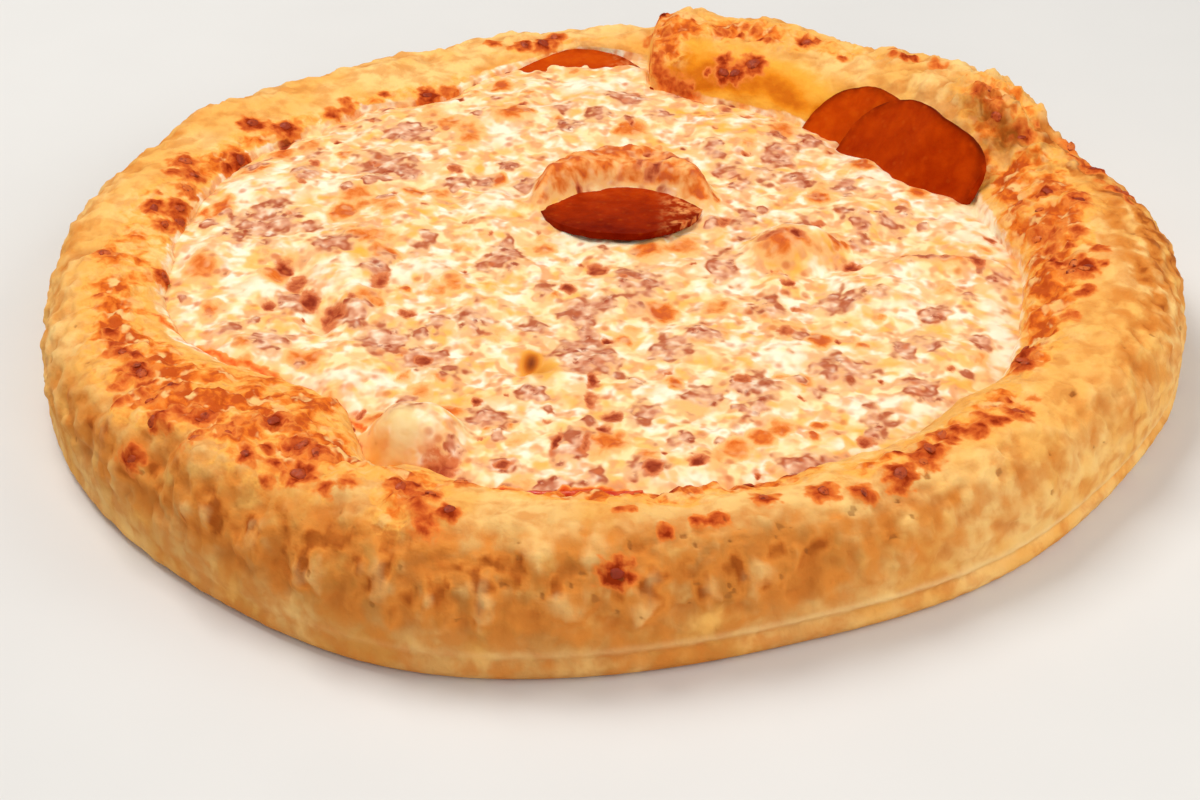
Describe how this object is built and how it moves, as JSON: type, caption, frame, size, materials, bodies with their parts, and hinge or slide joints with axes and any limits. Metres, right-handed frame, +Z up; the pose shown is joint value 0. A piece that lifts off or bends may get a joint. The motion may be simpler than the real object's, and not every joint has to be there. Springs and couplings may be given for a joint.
{
  "type": "pan pizza",
  "caption": "Whole deep-crust pan pizza: a tall uneven baked rim with a folded stretch, a well of browned cheese, and pepperoni slices on the cheese and the rim.",
  "frame": {"origin": "middle of the outline, on the surface that the flat base rests on", "axes": "+Z up through the cheese; -Y is the front, where the rim runs even; +X is to the right, and the folded stretch of the rim is at the back right"},
  "size_m": [0.3196, 0.3134, 0.0464],
  "materials": {
    "baked_crust": "dry baked dough, tan with golden-brown patches",
    "melted_cheese": "soft baked cheese, cream with browned and oily patches",
    "pepperoni": "oily cured sausage, red-brown, dark at its edges"
  },
  "bodies": {
    "root": {"crust": "baked_crust", "cheese": "melted_cheese", "pepperoni_center": "pepperoni", "pepperoni_rim_left": "pepperoni", "pepperoni_rim_right": "pepperoni", "pepperoni_back": "pepperoni"}
  },
  "joints": []
}
